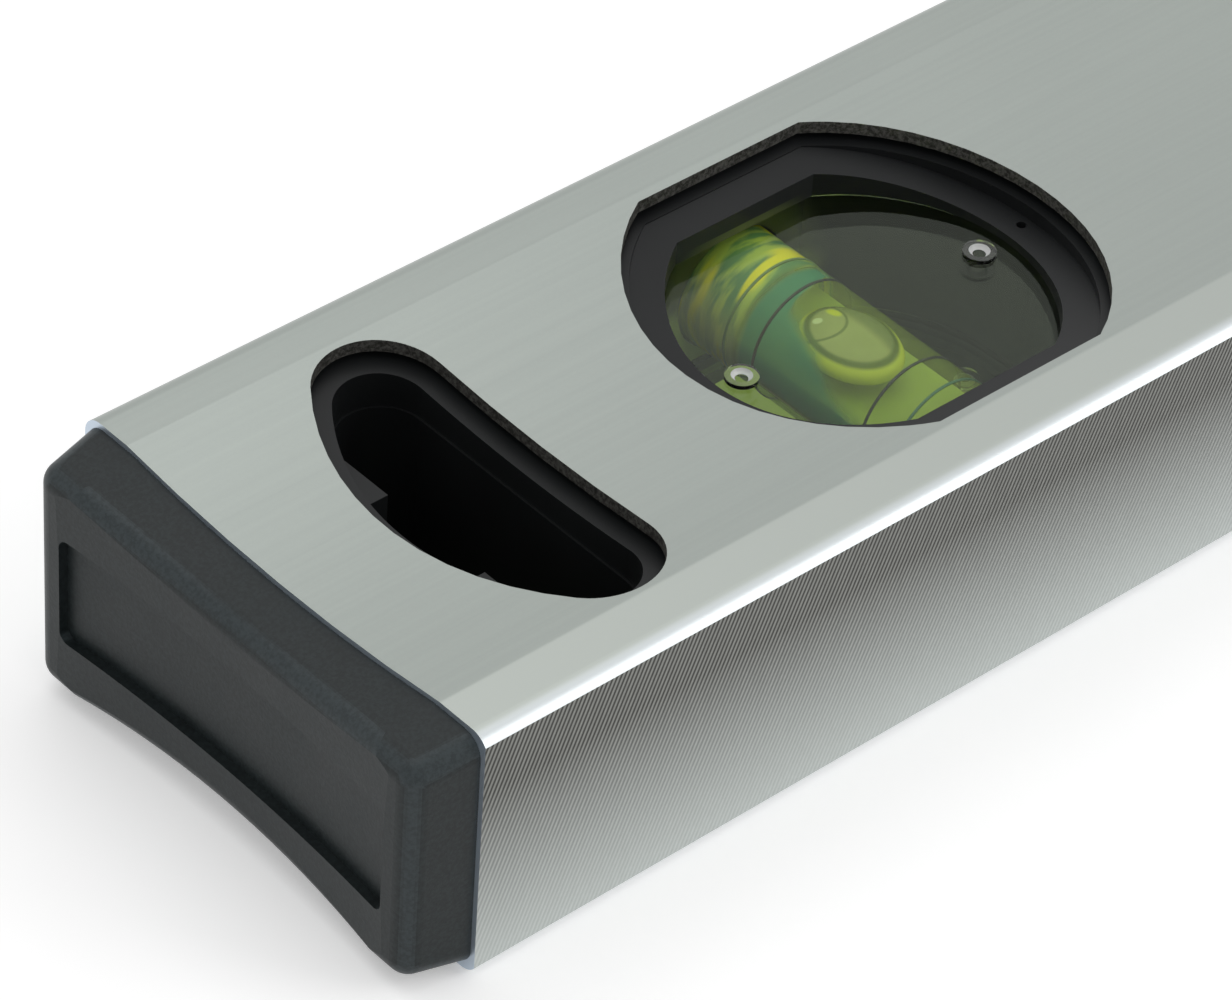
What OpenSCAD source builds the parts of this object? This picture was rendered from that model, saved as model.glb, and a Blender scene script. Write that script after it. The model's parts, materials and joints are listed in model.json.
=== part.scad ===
// Box-section spirit level with a magnetic base, lying on its back face.
// X runs along the level, -Y is the milled magnetic base, +Z is the front face.
// The origin is at the middle of the back face. All sizes are in millimetres.

/* [Beam] */
// Overall length over both end caps
level_len = 400; // [360:10:600]
// Width across the faces, from the milled base to the top edge
beam_w = 50; // [49.6:0.2:56]
// Thickness between the flat strips of the two faces
beam_t = 25.4; // [25:0.2:28]
// Wall thickness of the two dished faces
face_wall = 1.2; // [1:0.1:1.6]
// Wall thickness of the top edge
edge_wall = 1.8; // [1.2:0.1:2.2]
// Wall thickness of the milled base
base_wall = 3; // [2.6:0.1:3.2]
// Radius of the four long edges
edge_r = 2; // [1:0.1:2.6]
// Depth milled off the base face, which leaves its two edges sharp
mill_cut = 0.33; // [0.1:0.05:0.8]
// Half width of the dished panel on each face
dish_half = 19.5; // [17:0.5:21]
// Depth of the dished panel at its middle
dish_depth = 1.3; // [0.6:0.1:1.6]

/* [End caps] */
// Length of the head that stands out of the beam
cap_out = 6.2; // [5:0.2:9]
// Step from the beam's outside down to the head
cap_inset = 0.5; // [0.2:0.05:0.8]
// How much each side of the head leans in from the beam to its front
cap_draft = 1; // [0.4:0.1:1.2]
// Radius of the head's edges and ball corners
cap_r = 2; // [1:0.1:2.4]
// Depth of the hollow sweep across the front of the head
cap_sweep = 1; // [0.4:0.1:1.4]
// Length of the plug inside the beam
plug_len = 8; // [6:0.5:8.5]
// Wall thickness of the hollow plug
plug_wall = 2.4; // [1.6:0.2:3]
// Clearance of the plug in the beam
plug_fit = 0.15; // [0.1:0.05:0.3]
// Height of the bare sunk panel on the front of the head
panel_h = 11; // [8:0.5:13]
// Width of the sunk panel
panel_w = 41; // [30:0.5:42]
// Depth of the sunk panel
panel_depth = 1; // [0.4:0.1:1.4]
// Corner radius of the sunk panel
panel_r = 1; // [0.5:0.1:2]

/* [Hang holes] */
// From the beam's end to the bowed side of the hole
hole_from_end = 11; // [11:0.2:13]
// Size of the hole along the beam
hole_len = 16.4; // [15:0.2:17]
// Half size of the hole across the beam
hole_half = 18.9; // [17:0.1:19.2]
// Radius of the hole's two ends
hole_tip_r = 6; // [5:0.1:6.6]
// Width of the liner's ledge inside the hole
ledge_w = 1.8; // [1.4:0.1:2.2]
// Wall thickness of the liner
liner_wall = 1.2; // [0.8:0.1:1.6]
// How far the liner's flange reaches under the beam's wall
liner_lap = 1.5; // [1:0.1:2]
// Thickness of the liner's flange
liner_flange = 1.6; // [1:0.1:2.4]
// Depth of the liner's upper part, down to its seam
seam_deep = 2.6; // [2:0.1:4]
// How far the liner stands further in below the seam
seam_step = 0.2; // [0.1:0.05:0.3]
// Length of each of the two snap lugs on the bowed side
lug_len = 5.5; // [4:0.5:7]
// Depth of the snap lugs' tops below the liner's flange
lug_drop = 1.5; // [0.5:0.1:2]
// Height of the snap lugs
lug_high = 4; // [2:0.5:6]
// Distance of the snap lugs from the middle of the beam's width
lug_y = 8.8; // [7:0.2:10]
// How far the snap lugs reach in from the bowed side of the hole
lug_reach = 5.3; // [4.6:0.1:5.4]

/* [Plumb windows] */
// From the beam's end to the centre of the window
window_from_end = 63.7; // [60:0.5:75]
// Radius of the round sides of the window
window_r = 20.8; // [20.4:0.1:21.6]
// Half size between the two flats of the window
window_half = 18.6; // [18.2:0.1:19.2]
// Width of the shell's rim inside the window
rim_w = 3.9; // [3.2:0.1:4.2]
// Half size between the flats of the shell's own opening
view_half = 14.9; // [14.5:0.1:15.6]
// How much deeper than the shell's flange the dished face of the rim is, at its middle
rim_dip = 1.3; // [0.6:0.1:1.4]
// Width of the raised bead round the rim's face
rim_bead = 0.8; // [0.5:0.1:1]
// How far the shell's flange reaches under the beam's wall
flange_lap = 2.2; // [1.5:0.1:2.4]
// How far the lens reaches under the rim
lens_lap = 0.9; // [0.6:0.1:1.2]
// Wall thickness of the shell's skirt
skirt_wall = 1.4; // [1:0.1:1.8]
// Gap between the beam's wall and every flange under it
flange_gap = 0.7; // [0.3:0.1:0.8]
// Radius of the moulding dimple in the rim
dimple_r = 0.45; // [0.3:0.05:0.7]
// Depth of the dimple
dimple_deep = 0.8; // [0.4:0.1:1]
// From the edge of the window's round side to the dimple
dimple_in = 1.9; // [1.8:0.1:2.2]

/* [Lenses] */
// Thickness of the clear lenses
lens_t = 1.3; // [1:0.1:1.4]
// Play of a lens in its shell
lens_fit = 0.2; // [0.1:0.05:0.3]
// Distance of each round pip from the window's centre
pip_x = 13.9; // [12:0.1:14.5]
// Radius of a pip
pip_r = 1.5; // [1.1:0.1:1.8]
// Height of a pip
pip_h = 0.4; // [0.2:0.1:0.4]
// Radius of the round hollow in the top of a pip
pip_cup_r = 1.1; // [0.7:0.1:1.1]

/* [Vials] */
// Outer radius of the vial tube
tube_r = 5.85; // [5.5:0.05:6]
// Radius of the vial's bore at its middle
bore_r = 5; // [4.6:0.1:5.1]
// How much narrower the barrel-shaped bore is at its ends
bore_crown = 0.12; // [0.04:0.02:0.2]
// Thickness of the vial's closed end
tube_end = 2.5; // [1.5:0.1:3]
// Thickness of the plug that seals the vial
seal_t = 2.5; // [1.5:0.1:3]
// Gap between a tube and the two lenses that hold it
tube_gap = 0.25; // [0.15:0.05:0.4]
// Gap between the liquid and what holds it
liquid_gap = 0.04; // [0.02:0.01:0.08]
// How far the ends of a tube reach past the lenses, into the shell's end walls
tube_seat = 1.8; // [1.2:0.1:2]
// Length of the bubble
bubble_len = 10.6; // [8:0.1:11.4]
// Width of the bubble
bubble_w = 8.2; // [7:0.1:8.6]
// Height of the bubble, from its flat underside to the bore
bubble_h = 4; // [3:0.1:4.6]
// Gap between the bubble and what is round it
bubble_gap = 0.12; // [0.08:0.02:0.16]
// Place of the plumb bubbles along their vials
plumb_bubble_y = 1; // [-3:0.5:3]
// Place of the level bubble along its vial
level_bubble_x = 0.5; // [-3:0.5:3]
// Half distance between the two inner lines
mark_in = 6.7; // [6.2:0.1:7.5]
// Half distance between the two outer lines
mark_out = 10.4; // [9.5:0.1:11]
// Width of a line
mark_w = 0.25; // [0.2:0.05:0.5]
// How far a line stands on the tube
mark_t = 0.1; // [0.06:0.02:0.12]

/* [Level window] */
// Half length of the notch in the middle of the top edge
notch_half = 28.5; // [28:0.5:34]
// Depth of the notch below the top edge
notch_deep = 22.5; // [22:0.5:24]
// Corner radius at the bottom of the notch
notch_r = 3; // [1:0.5:5]
// Clearance of the shell in the notch
notch_fit = 0.15; // [0.1:0.05:0.3]
// How far the shell's outside is sunk below the beam's
face_sink = 0.2; // [0.1:0.05:0.4]
// Half length of the shell's openings
pane_half = 22; // [18:0.5:23]
// Half height of the shell's openings
pane_high = 6; // [5:0.2:6.4]
// Corner radius of the shell's openings
pane_r = 2.5; // [1:0.5:4]
// Thickness of the shell's lip above the top lens
lip_t = 1.4; // [1:0.1:1.8]

/* [Magnets] */
// Distance of the two inner magnets from the middle of the level
magnet_near = 42; // [36:1:50]
// Distance of the two outer magnets from the middle of the level
magnet_far = 74; // [70:1:84]
// Length of a magnet
magnet_len = 22; // [16:1:26]
// Height of a magnet
magnet_high = 7; // [5:0.5:9]
// Depth of a magnet
magnet_deep = 4; // [3:0.5:5]
// Wall of the plastic holder round a magnet
holder_wall = 0.9; // [0.6:0.1:1.2]
// Clearance of a magnet in its holder and of the holder in the base
magnet_fit = 0.1; // [0.05:0.05:0.2]
// How far a magnet sits below the milled face
magnet_sink = 0.2; // [0.1:0.1:0.4]
// How far the holder's flange laps the inside of the base
holder_lap = 2; // [1:0.5:3]
// Thickness of the holder's flange
holder_flange = 1.4; // [1:0.1:2]

/* [Hidden] */

$fn = 96;
// Segments of the very flat arcs
flat_fn = 1440;
// Steps of an arc that is worked out point by point
arc_steps = 16;
// How far a cutter passes the face that it cuts
over = 1;

// Beam
mid_z = beam_t / 2;
beam_end = cap_out - level_len / 2;
base_y = -beam_w / 2;
top_y = beam_w / 2;
dish_r = (dish_half * dish_half + dish_depth * dish_depth) / (2 * dish_depth);

// End caps: half sizes of the head where it meets the beam, and the lean of its sides
cap_front = beam_end - cap_out;
cap_half_y = beam_w / 2 - cap_inset;
cap_half_z = mid_z - cap_inset;
cap_lean = atan(cap_draft / cap_out);
// The head's top front edge falls with the dish and goes back with the sweep, on one tilted arc
sweep_r = (dish_half * dish_half + cap_sweep * cap_sweep) / (2 * cap_sweep);
cap_fall = sqrt(dish_depth * dish_depth + cap_sweep * cap_sweep);
cap_tilt = atan(dish_depth / cap_sweep);
cap_arc_r = (dish_half * dish_half + cap_fall * cap_fall) / (2 * cap_fall);

// Hang holes: the bowed side is an arc that runs smoothly into the two tips
hole_x = beam_end + hole_from_end;
tip_x = hole_len - hole_tip_r;
tip_y = hole_half - hole_tip_r;
bow_r = (tip_x * tip_x + tip_y * tip_y - hole_tip_r * hole_tip_r) / (2 * (tip_x - hole_tip_r));
bow_slope = tip_y / (bow_r - tip_x);

// Plumb windows: the height of the lenses follows the tube that they hold
window_x = beam_end + window_from_end;
view_r = window_r - rim_w;
lens_r = view_r + lens_lap;
lens_half = view_half + lens_lap;
lens_low = mid_z + tube_r + tube_gap;
lens_top = lens_low + lens_t;
plumb_half = lens_half + tube_seat;
// Top of every flange under the dished wall, at the middle of the dish
flange_top = beam_t - dish_depth - face_wall - flange_gap;
// The rim's face is dished from the flange's height at the window's flats
rim_sag = window_half * window_half / (2 * dish_r) + rim_dip;
rim_dish_r = (window_half * window_half + rim_sag * rim_sag) / (2 * rim_sag);

// Level window: the tube lies below the lip, the top lens and their clearances
level_y = top_y - lip_t - lens_t - lens_fit - tube_gap - tube_r;
level_lens_half = pane_half + lens_lap;
level_half = level_lens_half + tube_seat;
level_lens_y = level_y - pane_high - lens_lap;
top_lens_y = top_y - lip_t - lens_t;
top_lens_half = lens_top - mid_z - lens_fit;

// Magnets
magnet_places = [-magnet_far, -magnet_near, magnet_near, magnet_far];
magnet_floor = base_y + magnet_sink + magnet_deep;
base_inside = base_y + base_wall;

// Colours
aluminium = "#b3b9b5";
black_plastic = "#26282a";
rubber_grey = "#3a3f40";
clear_plastic = [0.9, 0.95, 0.93, 0.35];
vial_plastic = [0.8, 0.93, 0.6, 0.35];
vial_green = [0.62, 0.78, 0.16, 0.7];
bubble_air = [0.93, 0.98, 0.8, 0.6];
line_black = "#10130f";
magnet_steel = "#77797c";

// Flat outlines

// Rectangle from corner a to corner b with rounded corners
module round_rect(a, b, r) {
    translate([a.x + r, a.y]) square([b.x - a.x - 2 * r, b.y - a.y]);
    translate([a.x, a.y + r]) square([b.x - a.x, b.y - a.y - 2 * r]);
    for (x = [a.x + r, b.x - r], y = [a.y + r, b.y - r]) translate([x, y]) circle(r);
}

// The circles that cut the two dished panels, for a surface set in by some distance
module dish_circles(inset) {
    for (m = [0, 1]) translate([0, mid_z]) mirror([0, m])
        translate([0, mid_z - dish_depth + dish_r]) circle(dish_r + inset, $fn = flat_fn);
}

// Outside of the beam's cross-section in Y and Z, set in by some distance
module section(inset, r, past_base = 0) {
    difference() {
        round_rect([base_y - past_base + inset, inset], [top_y - inset, beam_t - inset], r);
        dish_circles(inset);
    }
}

// Hollow of the beam's cross-section, set in by a clearance
module hollow_section(inset) {
    difference() {
        translate([base_y + base_wall + inset, face_wall + inset])
            square([beam_w - base_wall - edge_wall - 2 * inset, beam_t - 2 * face_wall - 2 * inset]);
        dish_circles(face_wall + inset);
    }
}

// Circle of radius r, cut off flat at a half distance
module flatted_circle(r, half) {
    intersection() {
        circle(r, $fn = 2 * $fn);
        square([2 * r + over, 2 * half], center = true);
    }
}

// Outline of the hang hole, set in by some distance. It is straight towards the window, bowed
// towards the end cap and round at its two tips. X starts at the middle of the bowed side.
module hole_outline(inset) {
    r = hole_tip_r - inset;
    bow_end = (bow_r + over) * bow_slope;
    for (s = [-1, 1]) translate([tip_x, s * tip_y]) circle(r);
    translate([tip_x - r, -tip_y]) square([2 * r, 2 * tip_y]);
    intersection() {
        translate([bow_r, 0]) circle(bow_r - inset, $fn = 2 * $fn);
        polygon([[tip_x, -tip_y], [tip_x, tip_y], [-over, bow_end], [-over, -bow_end]]);
    }
}

// Outline of the notch in the top edge, grown by some distance
module notch_outline(grow) {
    round_rect([-notch_half - grow, top_y - notch_deep - grow],
        [notch_half + grow, top_y + notch_r + over], notch_r);
}

// Rectangle of a magnet, grown by some distance
module magnet_outline(grow) {
    square([magnet_len + 2 * grow, magnet_high + 2 * grow], center = true);
}

// Placing

// Extrudes an outline of Y and Z along X, from x0 to x1
module along_x(x0, x1) {
    translate([x0, 0, 0]) rotate([90, 0, 90]) linear_extrude(x1 - x0) children();
}

// Extrudes an outline of X and Z along Y, from y0 to y1
module along_y(y0, y1) {
    translate([0, y1, 0]) rotate([90, 0, 0]) linear_extrude(y1 - y0) children();
}

// Cuts right through the beam's two faces
module through_faces() {
    translate([0, 0, -over]) linear_extrude(beam_t + 2 * over) children();
}

// Turns what is modelled at the left end to the left or the right end
module at_side(side) {
    mirror([side == "right" ? 1 : 0, 0, 0]) children();
}

// Turns what is modelled in the front half to the front or the back half
module at_face(face) {
    translate([0, 0, mid_z]) mirror([0, 0, face == "back" ? 1 : 0]) translate([0, 0, -mid_z]) children();
}

// Beam

// Box section with one edge milled flat, and with every cut-out
module beam() {
    color(aluminium)
    difference() {
        along_x(beam_end, -beam_end) difference() {
            section(0, edge_r, mill_cut);
            hollow_section(0);
            translate([base_y - mill_cut - over, -over]) square([mill_cut + over, beam_t + 2 * over]);
        }
        for (side = ["left", "right"]) at_side(side) through_faces() {
            translate([window_x, 0]) flatted_circle(window_r, window_half);
            translate([hole_x, 0]) hole_outline(0);
        }
        through_faces() notch_outline(0);
        for (x = magnet_places) translate([x, 0, mid_z])
            along_y(base_y - over, base_inside + over) magnet_outline(holder_wall + 2 * magnet_fit);
    }
}

// End caps

// Half size of the head's core, between the centres of its round edges, at a distance from the beam
function core_half(half, from_beam) = half - from_beam * tan(cap_lean) - cap_r / cos(cap_lean);

// Centre of the ball corner in one corner of the head
function ball_centre(sy, sz) = [cap_front + cap_r, sy * core_half(cap_half_y, cap_out - cap_r),
    sz * core_half(cap_half_z, cap_out - cap_r)];

// Points along an arc of the head's radius from angle a0 to a1
function edge_arc(centre, a0, a1) =
    [for (k = [0:arc_steps]) let (a = a0 + (a1 - a0) * k / arc_steps) centre + cap_r * [cos(a), sin(a)]];

// Outline of the head lengthwise, X against Y or Z, with leaning sides and a round-cornered front
module head_outline(half) {
    x = cap_front + cap_r;
    w = core_half(half, cap_out - cap_r);
    edge = [x - cap_r * sin(cap_lean), w + cap_r * cos(cap_lean)];
    polygon([[cap_front, -w], [cap_front, w], edge, [beam_end, half],
        [beam_end, -half], [edge.x, -edge.y]]);
    for (s = [-1, 1]) translate([x, s * w]) circle(cap_r);
}

// The same outline without the round edges
module core_outline(half) {
    w = core_half(half, cap_out - cap_r);
    tail = core_half(half, 0);
    polygon([[cap_front, -w], [cap_front, w], [cap_front + cap_r, w], [beam_end, tail],
        [beam_end, -tail], [cap_front + cap_r, -w]]);
}

// Leaning block with round edges and ball corners, about the middle of the beam's thickness
module head_block() {
    k = tan(cap_lean);
    dip = acos(k / sqrt(1 + 2 * k * k));
    intersection() {
        along_y(base_y, top_y) head_outline(cap_half_z);
        translate([0, 0, -mid_z]) linear_extrude(beam_t) core_outline(cap_half_y);
    }
    intersection() {
        along_y(base_y, top_y) core_outline(cap_half_z);
        translate([0, 0, -mid_z]) linear_extrude(beam_t) head_outline(cap_half_y);
    }
    intersection() {
        for (sy = [-1, 1], sz = [-1, 1]) translate(ball_centre(sy, sz)) {
            sphere(cap_r);
            rotate([0, sz > 0 ? dip : 180 - dip, sy * atan(k)]) cylinder(r = cap_r, h = cap_out);
        }
        along_x(cap_front - over, beam_end) square(2 * beam_w, center = true);
    }
}

// All that lies under the dished top and behind the swept front. It is turned about a tilted axis, so
// that its round front edge follows both.
module head_crown() {
    past = 4;
    reach = cap_out - cap_sweep;
    centre = [cap_r, core_half(0, reach - cap_r)];
    translate([cap_front + cap_sweep, 0, cap_half_z - dish_depth])
        rotate([0, cap_tilt, 0]) translate([-cap_arc_r, 0, 0])
        rotate_extrude($fn = flat_fn) translate([cap_arc_r, 0]) rotate(cap_tilt)
        polygon(concat([[0, -beam_t]], edge_arc(centre, 180, 90 + cap_lean),
            [[reach + past, past * tan(cap_lean)], [reach + past, -beam_t]]));
}

// Big upright cylinder that follows the hollow sweep, moved back by some depth
module cap_sweep_cut(depth) {
    translate([cap_front + cap_sweep - sweep_r, 0, -over])
        cylinder(r = sweep_r + depth, h = beam_t + 2 * over, $fn = flat_fn);
}

// Sunk panel, which follows the hollow sweep
module cap_panel() {
    intersection() {
        cap_sweep_cut(panel_depth);
        along_x(cap_front - over, beam_end)
            round_rect([-panel_w / 2, mid_z - panel_h / 2], [panel_w / 2, mid_z + panel_h / 2], panel_r);
    }
}

module end_cap(side) {
    color(rubber_grey)
    at_side(side) {
        difference() {
            translate([0, 0, mid_z]) intersection() {
                head_block();
                head_crown();
                mirror([0, 0, 1]) head_crown();
            }
            cap_panel();
        }
        along_x(beam_end, beam_end + plug_len) difference() {
            hollow_section(plug_fit);
            hollow_section(plug_fit + plug_wall);
        }
    }
}

// Hang hole liners

// Two short rectangles that stand in from the bowed side of the hole
module lug_outlines() {
    for (s = [-1, 1]) translate([0, s * lug_y - lug_len / 2]) square([lug_reach, lug_len]);
}

// One half of the liner: a flange under the beam's wall, a ledge, and a skirt to the middle, with two
// snap lugs on its bowed side
module hang_liner(side, face) {
    color(black_plastic)
    at_side(side) at_face(face) difference() {
        intersection() {
            translate([hole_x, 0, 0]) {
                translate([0, 0, mid_z]) linear_extrude(mid_z) hole_outline(ledge_w - liner_wall);
                translate([0, 0, flange_top - liner_flange]) linear_extrude(mid_z) hole_outline(-liner_lap);
            }
            along_x(beam_end, 0) hollow_section(flange_gap);
        }
        translate([hole_x, 0, 0]) difference() {
            union() {
                translate([0, 0, mid_z - over]) linear_extrude(mid_z) hole_outline(ledge_w + seam_step);
                translate([0, 0, flange_top - seam_deep]) linear_extrude(mid_z) hole_outline(ledge_w);
            }
            translate([0, 0, flange_top - lug_drop - lug_high]) linear_extrude(lug_high) lug_outlines();
        }
    }
}

// Plumb windows

// What is cut from the top of a shell to dish the face of its rim
module rim_dish() {
    intersection() {
        linear_extrude(beam_t) flatted_circle(window_r - rim_bead, window_half - rim_bead);
        along_x(-window_r, window_r) translate([0, flange_top - rim_dip + rim_dish_r])
            circle(rim_dish_r, $fn = flat_fn);
    }
}

// One half of the shell: a flange that shows as the window's rim, and a skirt to the middle. It holds
// the lens under the rim, and its end walls hold the tube.
module plumb_shell(side, face) {
    wall = lens_fit + skirt_wall;
    color(black_plastic)
    at_side(side) at_face(face) difference() {
        intersection() {
            translate([window_x, 0, 0]) {
                translate([0, 0, mid_z]) linear_extrude(mid_z)
                    flatted_circle(lens_r + wall, plumb_half + wall);
                translate([0, 0, lens_top]) linear_extrude(mid_z)
                    flatted_circle(window_r + flange_lap, window_half + flange_lap);
            }
            along_x(beam_end, 0) hollow_section(flange_gap);
        }
        translate([window_x, 0, 0]) {
            through_faces() flatted_circle(view_r, view_half);
            linear_extrude(lens_top) flatted_circle(lens_r + lens_fit, lens_half + lens_fit);
            along_y(-plumb_half - lens_fit, plumb_half + lens_fit) translate([0, mid_z])
                circle(tube_r + tube_gap);
            rim_dish();
            translate([window_r - dimple_in, 0, flange_top - rim_dip - dimple_deep])
                cylinder(r = dimple_r, h = mid_z);
        }
    }
}

// Low round boss with a hollow top
module pip() {
    difference() {
        cylinder(r = pip_r, h = pip_h);
        translate([0, 0, pip_h + pip_cup_r / 2]) sphere(pip_cup_r);
    }
}

module plumb_lens(side, face) {
    color(clear_plastic)
    at_side(side) at_face(face) translate([window_x, 0, 0]) {
        translate([0, 0, lens_low]) linear_extrude(lens_t) flatted_circle(lens_r, lens_half);
        for (s = [-1, 1]) translate([s * pip_x, 0, lens_top]) pip();
    }
}

// Vials, each modelled along Z about its own middle, with its bubble on the +X side

// Outline to revolve for the barrel-shaped bore of a tube of some half length, from z0 to z1
module bore_outline(inset, half, z0, z1) {
    steps = 10;
    heights = [for (k = [0:steps]) z0 + (z1 - z0) * k / steps];
    side = [for (z = heights) [bore_r - inset - bore_crown * pow(z / half, 2), z]];
    polygon(concat([[0, z0]], side, [[0, z1]]));
}

// Tube with one closed end
module vial_tube(half) {
    difference() {
        translate([0, 0, -half]) cylinder(r = tube_r, h = 2 * half);
        rotate_extrude() bore_outline(0, half, tube_end - half, half + over);
    }
}

// Plug in the tube's open end
module vial_seal(half) {
    translate([0, 0, half - seal_t]) cylinder(r = bore_r - bore_crown - liquid_gap, h = seal_t);
}

// Round-edged disc that the bubble and its place in the liquid are cut from
module bubble_disc(grow) {
    round_r = bubble_h / 2 + grow;
    disc_r = bubble_len / 2 + grow - round_r;
    rotate([0, 90, 0]) {
        cylinder(r = disc_r, h = 2 * round_r, center = true);
        rotate_extrude() translate([disc_r, 0]) intersection() {
            circle(round_r);
            translate([0, -round_r]) square(2 * round_r);
        }
    }
}

// The bubble lies against the bore
module bubble_form() {
    intersection() {
        translate([bore_r - bubble_gap - bubble_h / 2, 0, 0]) bubble_disc(0);
        cylinder(r = bore_r - bore_crown - bubble_gap, h = 2 * bubble_len, center = true);
        cube([2 * tube_r, bubble_w, 2 * bubble_len], center = true);
    }
}

// The bubble's place in the liquid is open towards the bore
module bubble_place() {
    intersection() {
        translate([bore_r - bubble_gap - bubble_h / 2, 0, 0]) {
            bubble_disc(bubble_gap);
            rotate([0, 90, 0]) cylinder(r = bubble_len / 2 + bubble_gap, h = bubble_h);
        }
        cube([4 * tube_r, bubble_w + 2 * bubble_gap, 2 * bubble_len], center = true);
    }
}

module vial_liquid(half, bubble_at) {
    difference() {
        rotate_extrude()
            bore_outline(liquid_gap, half, tube_end + liquid_gap - half, half - seal_t - liquid_gap);
        translate([0, 0, bubble_at]) bubble_place();
    }
}

// Lines round the tube
module vial_marks() {
    for (z = [-mark_out, -mark_in, mark_in, mark_out]) translate([0, 0, z - mark_w / 2]) difference() {
        cylinder(r = tube_r + mark_t, h = mark_w);
        translate([0, 0, -over]) cylinder(r = tube_r, h = mark_w + 2 * over);
    }
}

// Turns a vial's own Z to +Y and its bubble side to +Z, at the left or the right plumb window
module as_plumb(side) {
    at_side(side) translate([window_x, 0, mid_z]) rotate([0, -90, -90]) children();
}

// Turns a vial's own Z to +X and its bubble side to +Z, at the level window
module as_level() {
    translate([0, level_y, mid_z]) rotate([180, -90, 0]) children();
}

// Level window

// One half of the shell: a block that fills the notch, and a flange inside the beam. It has openings
// to the face and to the top edge, with a hollow behind them for the lenses.
module level_shell(face) {
    color(black_plastic)
    at_face(face) difference() {
        union() {
            intersection() {
                along_x(-notch_half, notch_half) section(face_sink, edge_r);
                translate([0, 0, mid_z]) linear_extrude(mid_z) notch_outline(-notch_fit);
            }
            intersection() {
                along_x(beam_end, -beam_end) hollow_section(flange_gap);
                translate([0, 0, mid_z]) linear_extrude(mid_z) notch_outline(flange_lap);
            }
        }
        through_faces() round_rect([-pane_half, level_y - pane_high], [pane_half, level_y + pane_high], pane_r);
        along_y(level_y, top_y + over)
            round_rect([-pane_half, mid_z - pane_high], [pane_half, mid_z + pane_high], pane_r);
        translate([-level_lens_half - lens_fit, level_lens_y - lens_fit, 0])
            cube([2 * (level_lens_half + lens_fit), top_y - lip_t - level_lens_y + lens_fit, lens_top]);
        along_x(-level_half - lens_fit, level_half + lens_fit) translate([level_y, mid_z])
            circle(tube_r + tube_gap);
    }
}

module level_lens(face) {
    color(clear_plastic)
    at_face(face) translate([-level_lens_half, level_lens_y, lens_low])
        cube([2 * level_lens_half, top_lens_y - lens_fit - level_lens_y, lens_t]);
}

module level_lens_top() {
    color(clear_plastic)
    translate([-level_lens_half, top_lens_y, mid_z - top_lens_half])
        cube([2 * level_lens_half, lens_t, 2 * top_lens_half]);
}

// Magnets

module magnet(i) {
    color(magnet_steel)
    translate([magnet_places[i - 1], 0, mid_z]) along_y(base_y + magnet_sink, magnet_floor) magnet_outline(0);
}

// Tray that holds a magnet, with a flange against the inside of the base
module magnet_holder(i) {
    color(black_plastic)
    translate([magnet_places[i - 1], 0, mid_z]) difference() {
        union() {
            along_y(base_y + magnet_sink, magnet_floor + magnet_fit + holder_wall)
                magnet_outline(magnet_fit + holder_wall);
            along_y(base_inside, base_inside + holder_flange)
                magnet_outline(magnet_fit + holder_wall + holder_lap);
        }
        along_y(base_y, magnet_floor + magnet_fit) magnet_outline(magnet_fit);
    }
}

// Nodes

beam();
for (side = ["left", "right"]) {
    end_cap(side);
    for (face = ["front", "back"]) {
        hang_liner(side, face);
        plumb_shell(side, face);
        plumb_lens(side, face);
    }
    color(vial_plastic) as_plumb(side) vial_tube(plumb_half);
    color(black_plastic) as_plumb(side) vial_seal(plumb_half);
    color(vial_green) as_plumb(side) vial_liquid(plumb_half, plumb_bubble_y);
    color(bubble_air) as_plumb(side) translate([0, 0, plumb_bubble_y]) bubble_form();
    color(line_black) as_plumb(side) vial_marks();
}
for (face = ["front", "back"]) {
    level_shell(face);
    level_lens(face);
}
level_lens_top();
color(vial_plastic) as_level() vial_tube(level_half);  // level_tube
color(black_plastic) as_level() vial_seal(level_half);  // level_seal
color(vial_green) as_level() vial_liquid(level_half, level_bubble_x);  // level_liquid
color(bubble_air) as_level() translate([0, 0, level_bubble_x]) bubble_form();  // level_bubble
color(line_black) as_level() vial_marks();  // level_marks
for (i = [1:4]) {
    magnet(i);
    magnet_holder(i);
}
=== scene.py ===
"""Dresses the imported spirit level: materials for every node, clear green vials, floor, light and camera."""
import json
import math

import bmesh
import bpy
from mathutils import Matrix, Vector

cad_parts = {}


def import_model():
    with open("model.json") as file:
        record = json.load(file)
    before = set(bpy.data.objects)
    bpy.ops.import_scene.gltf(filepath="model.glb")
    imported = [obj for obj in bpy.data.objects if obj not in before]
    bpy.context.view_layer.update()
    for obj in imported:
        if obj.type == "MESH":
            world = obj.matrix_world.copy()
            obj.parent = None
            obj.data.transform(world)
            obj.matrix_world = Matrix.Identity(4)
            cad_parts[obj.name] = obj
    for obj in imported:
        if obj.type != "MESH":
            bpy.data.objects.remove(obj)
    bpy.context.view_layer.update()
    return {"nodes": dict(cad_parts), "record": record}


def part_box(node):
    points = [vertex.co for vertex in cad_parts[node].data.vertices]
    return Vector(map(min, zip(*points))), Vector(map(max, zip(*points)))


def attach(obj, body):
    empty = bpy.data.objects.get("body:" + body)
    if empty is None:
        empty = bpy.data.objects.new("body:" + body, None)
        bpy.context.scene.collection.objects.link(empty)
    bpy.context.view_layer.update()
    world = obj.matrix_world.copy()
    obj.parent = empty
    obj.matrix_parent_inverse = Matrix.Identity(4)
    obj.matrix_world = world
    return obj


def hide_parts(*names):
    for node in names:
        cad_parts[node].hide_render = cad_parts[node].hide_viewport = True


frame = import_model()
NODES = frame["nodes"]
MM = 0.001

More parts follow.
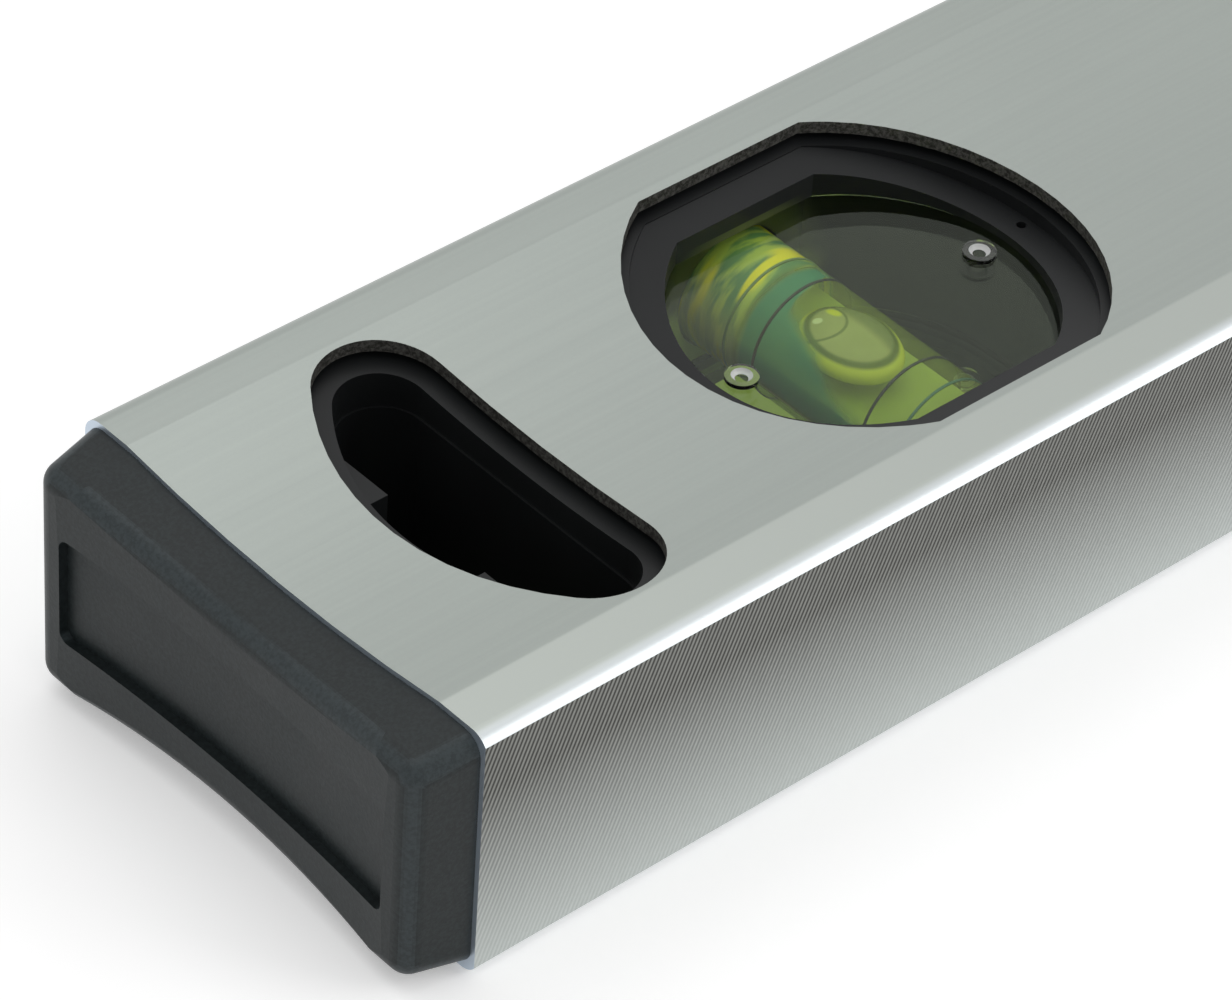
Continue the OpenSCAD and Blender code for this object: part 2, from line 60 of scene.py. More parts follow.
# Places that the materials need, in metres
BEAM_LOW, BEAM_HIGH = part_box("beam")
TOP_Z = BEAM_HIGH[2]
BASE_Y = BEAM_LOW[1]
BEAM_X = BEAM_HIGH[0]
HALF_W = BEAM_HIGH[1]
TUBE_LOW, TUBE_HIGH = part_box("plumb_left_tube")
LENS_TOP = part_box("plumb_left_lens_front")[1][2]

# Along a vial from its middle: the outer lines lie past OUTER, and the far end, painted bright with painted rings and
# glints, is TAIL long, so that on a plumb vial it starts just short of the outer line
OUTER = 8.5 * MM
TAIL = (TUBE_HIGH[1] - TUBE_LOW[1]) / 2 - 8.2 * MM

# Node graphs


class Graph:
    """A material with short calls for its nodes."""

    def __init__(self, name):
        self.mat = bpy.data.materials.new(name)
        self.mat.use_nodes = True
        self.tree = self.mat.node_tree
        self.tree.nodes.clear()
        self.out = self.tree.nodes.new("ShaderNodeOutputMaterial")

    def node(self, kind, ins=None, **props):
        n = self.tree.nodes.new(kind)
        for key, value in props.items():
            setattr(n, key, value)
        for key, value in (ins or {}).items():
            self.put(n.inputs[key], value)
        return n

    def put(self, socket, value):
        if isinstance(value, bpy.types.NodeSocket):
            self.tree.links.new(value, socket)
        else:
            socket.default_value = value

    def math(self, op, a, b=0.0, c=0.0):
        n = self.node("ShaderNodeMath", {0: a, 1: b, 2: c}, operation=op)
        return n.outputs[0]

    def both(self, a, b):
        return self.math("MULTIPLY", a, b)

    def less(self, a, b):
        return self.math("LESS_THAN", a, b)

    def more(self, a, b):
        return self.math("GREATER_THAN", a, b)

    def size(self, a):
        return self.math("ABSOLUTE", a)

    def ramp(self, value, low, high, to_low=0.0, to_high=1.0):
        n = self.node("ShaderNodeMapRange", {0: value, 1: low, 2: high, 3: to_low, 4: to_high},
                      interpolation_type="SMOOTHSTEP")
        return n.outputs[0]

    def mix(self, fac, a, b):
        n = self.node("ShaderNodeMix", data_type="RGBA")
        self.put(n.inputs[0], fac)
        self.put(n.inputs[6], a)
        self.put(n.inputs[7], b)
        return n.outputs[2]

    def noise(self, coords, scale, detail=2.0, rough=0.5):
        n = self.node("ShaderNodeTexNoise", {"Vector": coords, "Scale": scale, "Detail": detail, "Roughness": rough})
        return n.outputs[0]

    def place(self):
        """The object's own coordinates, in metres, as a vector and as x, y, z."""
        vec = self.node("ShaderNodeTexCoord").outputs["Object"]
        xyz = self.node("ShaderNodeSeparateXYZ", {0: vec})
        return vec, xyz.outputs[0], xyz.outputs[1], xyz.outputs[2]

    def normal(self):
        n = self.node("ShaderNodeSeparateXYZ", {0: self.node("ShaderNodeNewGeometry").outputs["True Normal"]})
        return n.outputs[0], n.outputs[1], n.outputs[2]

    def stretched(self, vec, scale):
        return self.node("ShaderNodeVectorMath", {0: vec, 1: scale}, operation="MULTIPLY").outputs[0]

    def bump(self, height, distance, strength=1.0):
        n = self.node("ShaderNodeBump", {"Height": height, "Distance": distance, "Strength": strength})
        return n.outputs[0]

    def shader(self, **ins):
        names = {key.replace("_", " "): value for key, value in ins.items()}
        n = self.node("ShaderNodeBsdfPrincipled", names)
        self.tree.links.new(n.outputs[0], self.out.inputs[0])
        return n


def rgb(r, g, b):
    return (r, g, b, 1.0)


# Materials


def aluminium():
    """Satin anodised extrusion, with sawn cut-outs and ends and a base milled with a slanted cutter."""
    g = Graph("anodised_aluminium")
    vec, x, y, z = g.place()
    nx, ny, nz = g.normal()

    # Which surface a point lies on: a cut-out's wall, the milled base or a sawn end
    near = 0.1 * MM
    within = g.both(g.less(g.size(y), HALF_W - 0.4 * MM), g.less(g.size(x), BEAM_X - near))
    cut = g.both(g.less(g.size(nz), 0.5), within)
    milled = g.both(g.less(ny, -0.9), g.less(y, BASE_Y + near))
    sawn = g.both(g.more(g.size(nx), 0.9), g.more(g.size(x), BEAM_X - near))

    # Fine extrusion lines run along the beam, and the flat strip and rounded edge beside the base are painted
    # brighter, a painted highlight
    lines = g.noise(g.stretched(vec, (9.0, 2200.0, 2200.0)), 1.0, 3.0)
    cloud = g.noise(vec, 45.0, 3.0)
    grain = g.noise(vec, 3000.0, 2.0)
    tone = g.math("MULTIPLY_ADD", lines, 0.5, g.math("MULTIPLY_ADD", cloud, 0.3, g.both(grain, 0.2)))
    skin = g.mix(tone, rgb(0.295, 0.323, 0.305), rgb(0.365, 0.395, 0.37))
    # Painted highlight on the flat strip beside the base and, brighter still, on its rounded edge
    skin = g.mix(g.ramp(y, BASE_Y + 5.8 * MM, BASE_Y + 5.2 * MM), skin, rgb(0.392, 0.42, 0.394))
    skin = g.mix(g.ramp(y, BASE_Y + 1.5 * MM, BASE_Y + 0.7 * MM), skin, rgb(0.55, 0.585, 0.595))

    # The cutter leaves slanted lines, with strong contrast along the front edge and faint contrast along the back one,
    # on a face painted darker towards the front edge and lighter towards the back one: painted shade and painted light
    lean = math.radians(23)
    pitch = 0.47 * MM
    across = g.math("SUBTRACT", g.both(x, math.cos(lean)), g.both(z, math.sin(lean)))
    wander = g.noise(g.stretched(vec, (55.0, 1.0, 12.0)), 1.0, 2.0)
    turns = g.math("ADD", g.both(across, 2 * math.pi / pitch), g.both(wander, 3.0))
    wave = g.math("MULTIPLY_ADD", g.math("SINE", turns), 0.5, 0.5)
    uneven = g.noise(g.stretched(vec, (2400.0, 1.0, 160.0)), 1.0, 2.0)
    ridge = g.both(wave, g.ramp(uneven, 0.3, 0.6, 0.88, 1.0))
    # Painted shade and light: the milled face is painted darker, and its lines stronger, towards the front edge
    painted_shade_fall = g.node("ShaderNodeMapRange", {0: z, 1: 1 * MM, 2: TOP_Z - 6 * MM}).outputs[0]
    low = g.mix(painted_shade_fall, rgb(0.47, 0.5, 0.485), rgb(0.028, 0.028, 0.025))
    high = g.mix(painted_shade_fall, rgb(0.57, 0.6, 0.585), rgb(0.25, 0.253, 0.236))
    metal = g.mix(ridge, low, high)

    grit = g.noise(vec, 2600.0, 3.0, 0.7)
    edge = g.mix(g.ramp(grit, 0.35, 0.68), rgb(0.06, 0.058, 0.052), rgb(0.19, 0.187, 0.172))

    colour = g.mix(milled, skin, metal)
    colour = g.mix(cut, colour, edge)
    # Sawn ends are bright sawn metal, and their bluish tint is a painted reflection
    colour = g.mix(sawn, colour, rgb(0.55, 0.63, 0.72))
    rough = g.math("MULTIPLY_ADD", lines, 0.06, 0.33)
    rough = g.math("MULTIPLY_ADD", cut, 0.2, rough)
    height = g.math("ADD", g.both(lines, 0.1), g.both(g.both(wave, milled), 0.8))
    height = g.math("ADD", height, g.both(g.both(grit, cut), 2.0))
    g.shader(Base_Color=colour, Metallic=0.92, Roughness=rough, Normal=g.bump(height, 0.03 * MM))
    return g.mat


def rubber():
    """Matt moulded rubber with a fine grain and a worn bloom, and edges painted paler, a painted highlight."""
    g = Graph("cap_rubber")
    vec = g.place()[0]
    nx, ny, nz = (g.size(n) for n in g.normal())
    grain = g.noise(vec, 2600.0, 3.0, 0.65)
    bloom = g.noise(vec, 160.0, 4.0, 0.6)
    tone = g.math("MULTIPLY_ADD", g.ramp(grain, 0.35, 0.7), 0.5, g.both(bloom, 0.5))
    colour = g.mix(tone, rgb(0.0045, 0.0065, 0.007), rgb(0.018, 0.025, 0.026))
    # Edges between two faces are painted paler, a painted highlight broken up by the grain
    turned = g.math("ADD", g.both(nx, nz), g.both(ny, g.math("ADD", nx, nz)))
    wear_and_painted_highlight = g.both(g.ramp(turned, 0.3, 0.5), g.ramp(grain, 0.35, 0.65, 0.5, 0.85))
    colour = g.mix(wear_and_painted_highlight, colour, rgb(0.038, 0.049, 0.053))
    rough = g.math("MULTIPLY_ADD", bloom, 0.16, 0.34)
    g.shader(Base_Color=colour, Roughness=rough, Specular_IOR_Level=0.25, Normal=g.bump(grain, 0.03 * MM, 0.6))
    return g.mat


def black_plastic(name, vial_box=None):
    """Black moulded plastic with a soft gloss; round a vial it is painted greener and lighter, a painted glow of the
    vial's light.
    """
    g = Graph(name)
    vec, x, _, z = g.place()
    grain = g.noise(vec, 1500.0, 3.0)
    bloom = g.noise(vec, 90.0, 3.0)
    colour = g.mix(bloom, rgb(0.007, 0.0075, 0.008), rgb(0.014, 0.0155, 0.016))
    if vial_box:
        middle = (Vector(vial_box[0]) + Vector(vial_box[1])) / 2
        dx, dz = g.math("SUBTRACT", x, middle.x), g.math("SUBTRACT", z, middle.z)
        away = g.math("SQRT", g.math("ADD", g.both(dx, dx), g.both(dz, dz)))
        # The painted green light fades out at 11 mm from the vial's axis and is not painted on the rims near the faces
        rims_at = 8.2 * MM
        inside = g.both(g.ramp(away, 11 * MM, 7 * MM), g.less(g.size(dz), rims_at))
        # Painted light: green and brighter below the vial's axis
        painted_vial_light = g.mix(g.ramp(dz, 1 * MM, -2 * MM), rgb(0.08, 0.1, 0.03), rgb(0.5, 0.66, 0.16))
        colour = g.mix(inside, colour, painted_vial_light)
    rough = g.math("MULTIPLY_ADD", bloom, 0.12, 0.32)
    g.shader(Base_Color=colour, Roughness=rough, Specular_IOR_Level=0.2, Normal=g.bump(grain, 0.004 * MM, 0.4))
    return g.mat


def clear_lens():
    """Polished acrylic with faint flow marks from moulding, and pips whose steep hollow walls are painted white, a
    painted glint.
    """
    g = Graph("clear_lens")
    vec, _, _, z = g.place()
    colour = g.mix(g.noise(vec, 60.0, 2.0), rgb(0.8, 0.86, 0.72), rgb(0.88, 0.92, 0.8))
    pane = g.shader(Base_Color=colour, Roughness=0.0, IOR=1.31, Transmission_Weight=1.0,
                    Specular_Tint=rgb(0.85, 1.0, 0.8))
    # The pips' steep walls are painted white and less clear, a painted glint
    white = g.mix(g.noise(vec, 900.0, 2.0), rgb(0.86, 0.88, 0.86), rgb(1.0, 1.0, 1.0))
    tilt = g.size(g.normal()[2])
    painted_glint_walls = g.both(g.ramp(tilt, 0.3, 0.5), g.ramp(tilt, 0.95, 0.8))
    pip = g.shader(Base_Color=white, Roughness=0.03, IOR=1.45,
                   Transmission_Weight=g.math("MULTIPLY_ADD", painted_glint_walls, -0.6, 0.98))
    # The box of the lens ends at the pips' tops, so what lies just under that is a pip
    pip_h = 0.38 * MM
    raised = g.more(g.size(g.math("SUBTRACT", z, TOP_Z / 2)), LENS_TOP - TOP_Z / 2 - pip_h)
    mixed = g.node("ShaderNodeMixShader", {0: raised, 1: pane.outputs[0], 2: pip.outputs[0]})
    g.tree.links.new(mixed.outputs[0], g.out.inputs[0])
    return g.mat


def from_centre(g, centre, along):
    """Distances from a vial's centre: along it, to its side and up."""
    vec, x, y, z = g.place()
    run, side = (y, x) if along == "y" else (x, y)
    run_at, side_at = (centre[1], centre[0]) if along == "y" else (centre[0], centre[1])
    return vec, g.math("SUBTRACT", run, run_at), g.math("SUBTRACT", side, side_at), g.math("SUBTRACT", z, centre[2])


def vial_glass(name, centre, along, half):
    """See-through skin of the vial: green, with a painted teal shade along one side, its left silhouette painted
    lighter as a painted glow, and painted rings and yellow glints near its far end.
    """
    tail_at = half - TAIL
    g = Graph(name)
    vec, t, s, u = from_centre(g, centre, along)
    # Angle round the vial in degrees, from a line that leans 40 degrees to the left of straight up
    lean = math.radians(90 + 40)
    ahead = g.math("ADD", g.both(s, math.cos(lean)), g.both(u, math.sin(lean)))
    aside = g.math("SUBTRACT", g.both(u, math.cos(lean)), g.both(s, math.sin(lean)))
    turn = g.both(g.math("ARCTAN2", aside, ahead), 180 / math.pi)
    cloud = g.noise(vec, 260.0, 3.0)
    body = g.mix(cloud, rgb(0.38, 0.51, 0.075), rgb(0.52, 0.64, 0.11))
    # Towards the left silhouette the colour is painted lighter, a painted glow of light through the liquid
    edge = g.ramp(turn, 52.0, 72.0)
    body = g.mix(edge, body, rgb(0.6, 0.74, 0.16))

    # The teal band, a painted shade, runs along the left, grows wider towards the far end and reaches right across
    # just short of it
    start = g.math("ADD", g.ramp(t, -7 * MM, OUTER, 28.0, -26.0), g.ramp(t, 5.6 * MM, 7.6 * MM, 0.0, -60.0))
    bend = g.math("SUBTRACT", turn, g.math("MULTIPLY_ADD", cloud, 16.0, start))
    teal = g.both(g.ramp(bend, -12.0, 10.0), g.ramp(turn, 78.0, 56.0))
    teal = g.both(teal, g.ramp(t, 9.6 * MM, 8.4 * MM))
    body = g.mix(teal, body, rgb(0.1, 0.37, 0.21))

    # The far end has painted rings of light and shade, painted brighter on the left, with painted yellow glints
    # between them
    stretch = (230.0, 1000.0, 230.0) if along == "y" else (1000.0, 230.0, 230.0)
    rings = g.mix(g.ramp(g.noise(g.stretched(vec, stretch), 1.0, 3.0), 0.36, 0.62),
                  rgb(0.15, 0.33, 0.12), rgb(0.52, 0.68, 0.12))
    rings = g.mix(g.ramp(turn, 5.0, 55.0), rings, g.mix(0.5, rings, rgb(1.0, 1.0, 0.3)))
    tail = g.ramp(t, tail_at, tail_at + 1.6 * MM)
    body = g.mix(tail, body, rings)
    # Painted yellow glints, painted reflections at the far end
    spots = g.noise(g.stretched(vec, stretch), 0.5, 1.0)
    painted_glow = g.both(g.ramp(t, tail_at + 0.6 * MM, tail_at + 2.3 * MM), g.ramp(spots, 0.53, 0.62))
    body = g.mix(painted_glow, body, rgb(1.0, 0.93, 0.03))

    # The colours lie as a veil over clear glass, thicker where they are strong
    green = g.node("ShaderNodeBsdfPrincipled",
                   {"Base Color": body, "Roughness": 0.25, "Specular IOR Level": 0.12})
    clear = g.node("ShaderNodeBsdfTransparent", {0: rgb(0.93, 1.0, 0.76)})
    veil = g.math("MAXIMUM", g.math("MULTIPLY_ADD", teal, 0.45, 0.24), g.both(tail, 0.9))
    veil = g.math("MAXIMUM", veil, g.both(edge, 0.45))
    mixed = g.node("ShaderNodeMixShader", {0: veil, 1: clear.outputs[0], 2: green.outputs[0]})
    g.tree.links.new(mixed.outputs[0], g.out.inputs[0])
    return g.mat


def bubble_air(name, centre, along, long, wide):
    """Pale bubble with painted light and shade: a painted darker side, a painted dark line and yellow rim round its
    outline, a painted dark arc inside it and painted glints. Its half length and half width are given in metres."""
    g = Graph(name)
    vec, t, s, _ = from_centre(g, centre, along)

    def far_from(t0, s0, t_r, s_r):
        """Distance from a point on the bubble as a share of an ellipse's half sizes, all given in millimetres."""
        a = g.math("POWER", g.both(g.math("SUBTRACT", t, t0 * MM), 1 / (t_r * MM)), 2.0)
        b = g.math("POWER", g.both(g.math("SUBTRACT", s, s0 * MM), 1 / (s_r * MM)), 2.0)
        return g.math("SQRT", g.math("ADD", a, b))

    out = far_from(0, 0, long / MM, wide / MM)
    body = g.mix(g.noise(vec, 500.0, 2.0), rgb(0.4, 0.41, 0.28), rgb(0.56, 0.54, 0.38))
    # One side of the bubble is painted darker, a painted shade
    body = g.mix(g.ramp(s, 0.5 * MM, 1.8 * MM), body, rgb(0.22, 0.24, 0.16))
    # Round the outline a painted dark line and a painted yellow rim of refracted light
    body = g.mix(g.ramp(out, 0.72, 0.8), body, rgb(0.06, 0.1, 0.02))
    body = g.mix(g.ramp(out, 0.84, 0.92), body, rgb(1.0, 1.0, 0.12))
    # A painted dark arc inside the bubble, a painted shade
    arc = far_from(3.4, -1.2, 3.2, 2.6)
    line = g.both(g.ramp(arc, 0.88, 0.94), g.ramp(arc, 1.03, 0.97))
    body = g.mix(g.both(line, 0.8), body, rgb(0.05, 0.08, 0.02))
    # Painted glints: a yellow one and a white highlight
    body = g.mix(g.ramp(far_from(2.9, 0.6, 0.9, 0.5), 1.2, 0.6), body, rgb(1.0, 0.95, 0.05))
    body = g.mix(g.ramp(far_from(3.0, -1.2, 0.45, 0.45), 1.2, 0.7), body, rgb(1.0, 1.0, 1.0))
    g.shader(Base_Color=body, Roughness=0.15, Specular_IOR_Level=0.4)
    return g.mat


def line_ink(name, along, centre):
    """Black inner lines and teal outer ones, of which a plumb vial's far one lies in the painted bright far end and is
    painted lighter olive there, painted light.
    """
    g = Graph(name)
    vec, x, y, _ = g.place()
    t = g.math("SUBTRACT", y if along == "y" else x, centre)
    wear_and_painted_highlight = g.noise(vec, 900.0, 3.0)
    black = g.mix(wear_and_painted_highlight, rgb(0.006, 0.008, 0.006), rgb(0.014, 0.018, 0.014))
    teal = g.mix(wear_and_painted_highlight, rgb(0.04, 0.14, 0.09), rgb(0.06, 0.18, 0.11))
    colour = g.mix(g.more(g.size(t), OUTER), black, teal)
    # A plumb vial's far outer line is painted lighter olive, painted light
    if along == "y":
        colour = g.mix(g.more(t, OUTER), colour, rgb(0.16, 0.26, 0.07))
    g.shader(Base_Color=colour, Roughness=0.5)
    return g.mat


def plain(name, low, high, rough, metallic=0.0, scale=900.0):
    """One material of two close tones, mixed by a fine grain that also roughens it."""
    g = Graph(name)
    vec = g.place()[0]
    grain = g.noise(vec, scale, 3.0)
    g.shader(Base_Color=g.mix(grain, low, high), Roughness=g.math("MULTIPLY_ADD", grain, 0.1, rough),
             Metallic=metallic, Normal=g.bump(grain, 0.01 * MM, 0.3))
    return g.mat


# Vials


def solid(name, verts, faces, centre, smooth):
    """A closed mesh about centre, with its faces turned outwards."""
    mesh = bpy.data.meshes.new(name)
    mesh.from_pydata([tuple(Vector(v) + centre) for v in verts], [], faces)
    work = bmesh.new()
    work.from_mesh(mesh)
    bmesh.ops.recalc_face_normals(work, faces=work.faces)
    work.to_mesh(mesh)
    work.free()
    mesh.polygons.foreach_set("use_smooth", [smooth] * len(faces))
    mesh.update()
    obj = bpy.data.objects.new(name, mesh)
    bpy.context.scene.collection.objects.link(obj)
    return obj


def lathe(name, outline, centre, along, flat=1.0, steps=96):
    """A solid turned about X or Y through centre from an outline of (distance along, radius) points, with its
    height made flatter."""
    verts, faces, last = [], [], None
    for t, r in outline:
        ring = [len(verts) + k for k in range(steps if r else 1)]
        for k in range(len(ring)):
            a = 2 * math.pi * k / steps
            c, s = r * math.cos(a), r * flat * math.sin(a)
            verts.append((c, t, s) if along == "y" else (t, -c, s))
        if last:
            for k in range(max(len(ring), len(last))):
                quad = [last[k % len(last)], last[(k + 1) % len(last)], ring[(k + 1) % len(ring)], ring[k % len(ring)]]
                faces.append(tuple(dict.fromkeys(quad)))
        last = ring
    return solid(name, verts, faces, centre, True)


def prism(name, section, low, high, centre, along):
    """A solid along X or Y from low to high, from a section of (side, height) points."""
    verts = [(c, t, s) if along == "y" else (t, -c, s) for t in (low, high) for c, s in section]
    n = len(section)
    faces = [(k, (k + 1) % n, n + (k + 1) % n, n + k) for k in range(n)]
    faces += [tuple(range(n)), tuple(range(n, 2 * n))]
    return solid(name, verts, faces, centre, False)


def dress(obj, material, body, slot, *nodes):
    """Gives a new piece its material and its body, and hides the nodes that it takes the place of. The slot is not
    used.
    """
    obj.data.materials.append(material)
    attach(obj, body)
    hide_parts(*nodes)


def vial(prefix, along):
    """See-through tube with round rims and a recess that the seal fills, murky liquid in its lower half and a
    smooth bubble above that."""
    axis = 1 if along == "y" else 0
    low, high = (Vector(v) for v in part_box(prefix + "_tube"))
    centre = (low + high) / 2
    half, radius = (high - low)[axis] / 2, (high - low)[2] / 2
    seal_low, seal_high = (Vector(v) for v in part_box(prefix + "_seal"))
    play = 0.04 * MM
    seal_r = (seal_high - seal_low)[2] / 2 + play
    floor_t = seal_low[axis] - centre[axis] - play
    rim = 0.5 * MM
    quarter = [math.radians(18 * k) for k in range(6)]
    outline = [(-half, 0.0)] + [(-half + rim - rim * math.cos(a), radius - rim + rim * math.sin(a)) for a in quarter]
    outline += [(half - rim + rim * math.sin(a), radius - rim + rim * math.cos(a)) for a in quarter]
    outline += [(half, seal_r), (floor_t, seal_r), (floor_t, 0.0)]
    tube = lathe(prefix + "_vial", outline, centre, along)
    dress(tube, vial_glass(prefix + "_glass", centre, along, half), "level", "vial_tube", prefix + "_tube")

    # The liquid's flat top lies just under the bubble
    bubble_low, bubble_high = (Vector(v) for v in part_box(prefix + "_bubble"))
    bubble_at = (bubble_low + bubble_high) / 2
    wall, end_wall, seal_gap, bubble_gap = 0.5 * MM, 1.5 * MM, 0.3 * MM, 0.1 * MM
    fill_r = radius - wall
    fill_top = bubble_low[2] - centre[2] - bubble_gap
    dip = math.asin(fill_top / fill_r)
    steps = 64
    angles = [math.pi - dip + (math.pi + 2 * dip) * k / steps for k in range(steps + 1)]
    section = [(fill_r * math.cos(a), fill_r * math.sin(a)) for a in angles]
    fill = prism(prefix + "_fill", section, -half + end_wall, floor_t - seal_gap, centre, along)
    dress(fill, MATERIALS["vial_liquid"], "level", "vial_liquid", prefix + "_liquid")

    # The bubble keeps its length, its width and the place of its top, with a smooth round outline
    long = (bubble_high - bubble_low)[axis] / 2
    wide = (bubble_high - bubble_low)[1 - axis] / 2
    tall = 1.85 * MM
    middle = Vector(bubble_at)
    middle[2] = bubble_high[2] - tall
    arcs = 36
    outline = []
    for k in range(arcs + 1):
        a = math.radians(180 * k / arcs)
        outline.append((-long * math.cos(a), wide * math.sin(a) if 0 < k < arcs else 0.0))
    air = lathe(prefix + "_air", outline, middle, along, tall / wide)
    look = bubble_air(prefix + "_air", bubble_at, along, long, wide)
    dress(air, look, prefix + "_bubble_body", "bubble_air", prefix + "_bubble")
    NODES[prefix + "_marks"].data.materials[0] = line_ink(prefix + "_ink", along, centre[axis])


# One material for each slot. The tube's and the bubble's are for the plain solids that the vials take the place of
MATERIALS = {
    "anodised_aluminium": aluminium(),
    "cap_rubber": rubber(),
    "black_plastic": black_plastic("black_plastic"),
    "clear_lens": clear_lens(),
    "vial_tube": plain("vial_tube", rgb(0.8, 0.92, 0.55), rgb(0.86, 0.96, 0.62), 0.1),
    "vial_seal": plain("vial_seal", rgb(0.5, 0.6, 0.05), rgb(0.6, 0.7, 0.1), 0.4),
    "vial_liquid": plain("vial_liquid", rgb(0.36, 0.46, 0.1), rgb(0.48, 0.6, 0.13), 0.3, 0.0, 240.0),
    "bubble_air": plain("bubble_air", rgb(0.5, 0.6, 0.2), rgb(0.7, 0.76, 0.35), 0.1),
    "line_black": plain("line_black", rgb(0.008, 0.01, 0.008), rgb(0.014, 0.016, 0.014), 0.5),
    "magnet": plain("magnet", rgb(0.3, 0.3, 0.31), rgb(0.42, 0.42, 0.43), 0.3, 1.0),
}
for part in frame["record"]["subparts"]:
    mesh = NODES[part["node"]].data
    mesh.materials.clear()
    mesh.materials.append(MATERIALS[part["material_slot"]])
for prefix in ("plumb_left", "plumb_right"):
    vial(prefix, "y")
    # The shells round each plumb vial get the painted green light of its vial
    plastic_with_painted_light = black_plastic(prefix + "_plastic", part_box(prefix + "_tube"))
    for half in ("_shell_front", "_shell_back"):
        NODES[prefix + half].data.materials[0] = plastic_with_painted_light
vial("level", "x")

# Stage, light and camera


def floor():
    """Pale paper, with painted shade under the level and painted green light from the plumb vials."""
    mesh = bpy.data.meshes.new("floor")
    half = 3.0
    mesh.from_pydata([(-half, -half, 0), (half, -half, 0), (half, half, 0), (-half, half, 0)], [], [(0, 1, 2, 3)])
    obj = bpy.data.objects.new("floor", mesh)
    bpy.context.scene.collection.objects.link(obj)
    g = Graph("floor")
    vec, x, y, _ = g.place()
    white = g.mix(g.noise(vec, 40.0), rgb(0.9, 0.9, 0.9), rgb(0.92, 0.92, 0.92))
    # A dark patch of painted shade, a few millimetres smaller than the level, lies hidden under it, so that its
    # windows look into the dark, and near the plumb vials it is painted green, painted light from them
    under = g.both(g.ramp(g.size(x), BEAM_X - 4 * MM, BEAM_X - 8 * MM),
                   g.ramp(g.size(y), HALF_W - 4 * MM, HALF_W - 5 * MM))
    window_x = -(TUBE_LOW[0] + TUBE_HIGH[0]) / 2
    near_vial = g.ramp(g.size(g.math("SUBTRACT", g.size(x), window_x - 2 * MM)), 8 * MM, 1 * MM)
    painted_shade_patch = g.mix(near_vial, rgb(0.05, 0.062, 0.03), rgb(0.26, 0.34, 0.1))
    paper = g.node("ShaderNodeBsdfDiffuse", {0: g.mix(under, white, painted_shade_patch)})

    # For rays from the camera and off glossy faces the paper is lifted to pure white, and the painted green light on
    # the painted shade glows as a painted glow
    painted_glow = g.mix(near_vial, rgb(0, 0, 0), rgb(0.18, 0.24, 0.06))
    lift = g.node("ShaderNodeEmission", {0: g.mix(under, rgb(0.3, 0.3, 0.3), painted_glow), 1: 1.0})
    both = g.node("ShaderNodeAddShader", {0: paper.outputs[0], 1: lift.outputs[0]})
    path = g.node("ShaderNodeLightPath")
    seen = g.math("MAXIMUM", path.outputs["Is Camera Ray"], path.outputs["Is Glossy Ray"])
    mixed = g.node("ShaderNodeMixShader", {0: seen, 1: paper.outputs[0], 2: both.outputs[0]})
    g.tree.links.new(mixed.outputs[0], g.out.inputs[0])
    mesh.materials.append(g.mat)


def softbox(name, place, aim, size, power):
    """An area light at place that faces aim, with sides of size, all in metres."""
    data = bpy.data.lights.new(name, "AREA")
    data.shape = "RECTANGLE"
    data.size, data.size_y = size
    data.energy = power
    obj = bpy.data.objects.new(name, data)
    bpy.context.scene.collection.objects.link(obj)
    obj.location = place
    obj.rotation_euler = (Vector(aim) - Vector(place)).to_track_quat("-Z", "Y").to_euler()


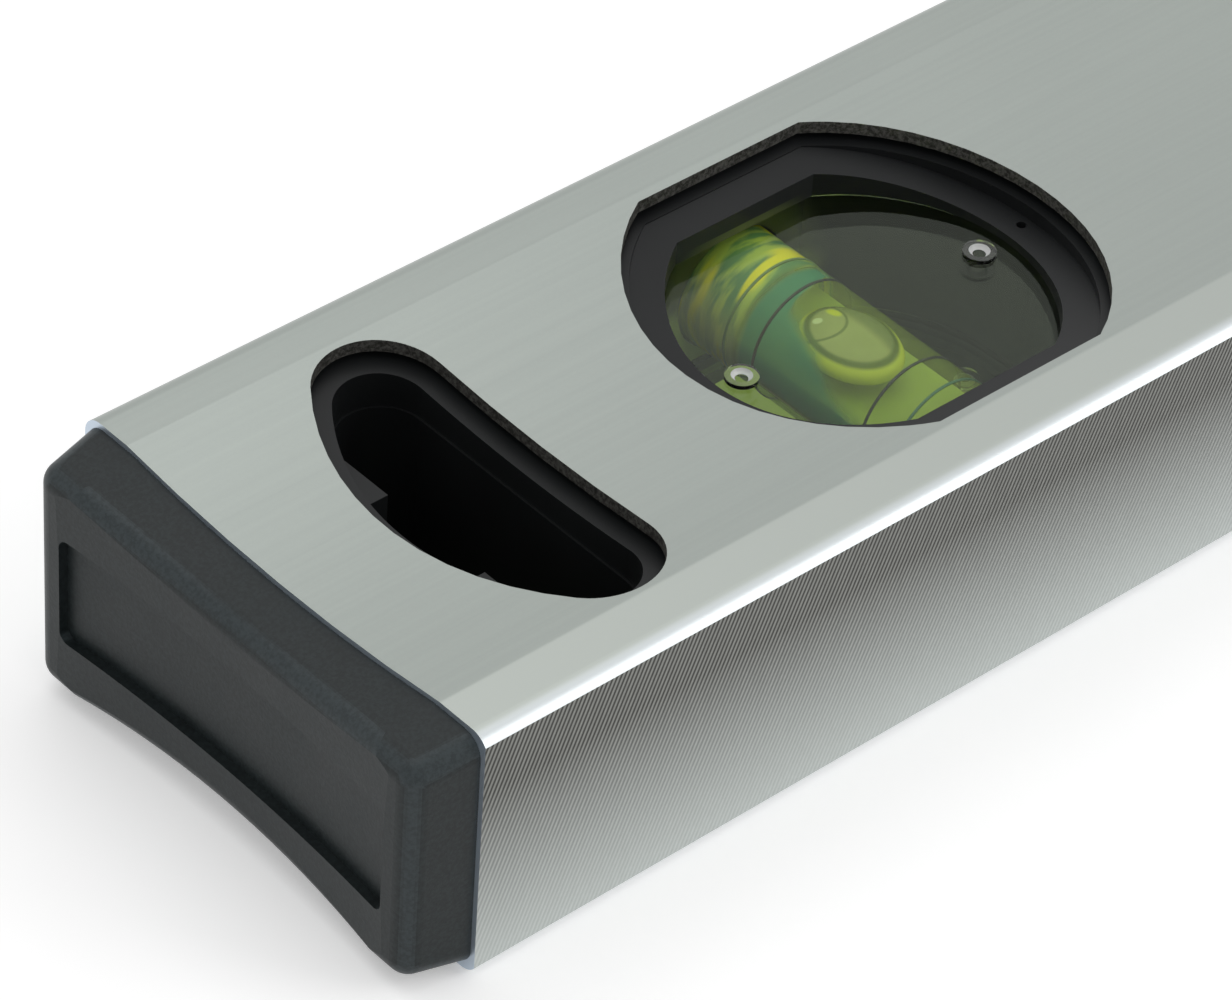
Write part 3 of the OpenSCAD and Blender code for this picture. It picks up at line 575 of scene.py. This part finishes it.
def world(strength):
    """White light of a given strength for diffuse rays, and full white for the camera, gloss and clear pieces."""
    w = bpy.data.worlds.new("studio")
    bpy.context.scene.world = w
    w.use_nodes = True
    nodes, links = w.node_tree.nodes, w.node_tree.links
    nodes.clear()
    out = nodes.new("ShaderNodeOutputWorld")
    air = nodes.new("ShaderNodeBackground")
    air.inputs[0].default_value = rgb(1, 1, 1)
    air.inputs[1].default_value = strength
    white = nodes.new("ShaderNodeBackground")
    white.inputs[0].default_value = rgb(1, 1, 1)
    path = nodes.new("ShaderNodeLightPath")
    seen = nodes.new("ShaderNodeMath")
    seen.operation = "MAXIMUM"
    also = nodes.new("ShaderNodeMath")
    also.operation = "MAXIMUM"
    mixed = nodes.new("ShaderNodeMixShader")
    links.new(path.outputs["Is Camera Ray"], seen.inputs[0])
    links.new(path.outputs["Is Glossy Ray"], seen.inputs[1])
    links.new(seen.outputs[0], also.inputs[0])
    links.new(path.outputs["Is Transmission Ray"], also.inputs[1])
    links.new(also.outputs[0], mixed.inputs[0])
    links.new(air.outputs[0], mixed.inputs[1])
    links.new(white.outputs[0], mixed.inputs[2])
    links.new(mixed.outputs[0], out.inputs[0])


def camera():
    """Long lens, high on the left, with a slight roll. The view shows the level's left third. Its angles, length
    and place are solved from the photo's edges."""
    az, el, roll = math.radians(-44.09), math.radians(40.142), math.radians(4.007)
    back = Vector((math.sin(az) * math.cos(el), -math.cos(az) * math.cos(el), math.sin(el)))
    level_right = Vector((math.cos(az), math.sin(az), 0))
    level_up = back.cross(level_right)
    right = level_right * math.cos(roll) + level_up * math.sin(roll)
    up = level_up * math.cos(roll) - level_right * math.sin(roll)
    data = bpy.data.cameras.new("camera")
    data.sensor_width = 36.0
    data.sensor_fit = "HORIZONTAL"
    data.lens = 173.34
    data.clip_start = 0.01
    obj = bpy.data.objects.new("camera", data)
    bpy.context.scene.collection.objects.link(obj)
    turn = Matrix((right, up, back)).transposed().to_4x4()
    place = Vector((-BEAM_X - 0.22617, -0.27083, 0.33186))
    obj.matrix_world = Matrix.Translation(place) @ turn
    bpy.context.scene.camera = obj


floor()
world(0.6)
# Places and sizes of the lamps in metres, and their powers in watts
softbox("key", (0.38, -0.585, 0.5), (-0.1, 0, 0), (0.5, 0.5), 1.7)
softbox("top", (-0.1, 0.3, 1.2), (-0.1, 0, 0), (1.2, 1.2), 4.2)
camera()
bpy.context.scene.view_settings.view_transform = "Standard"
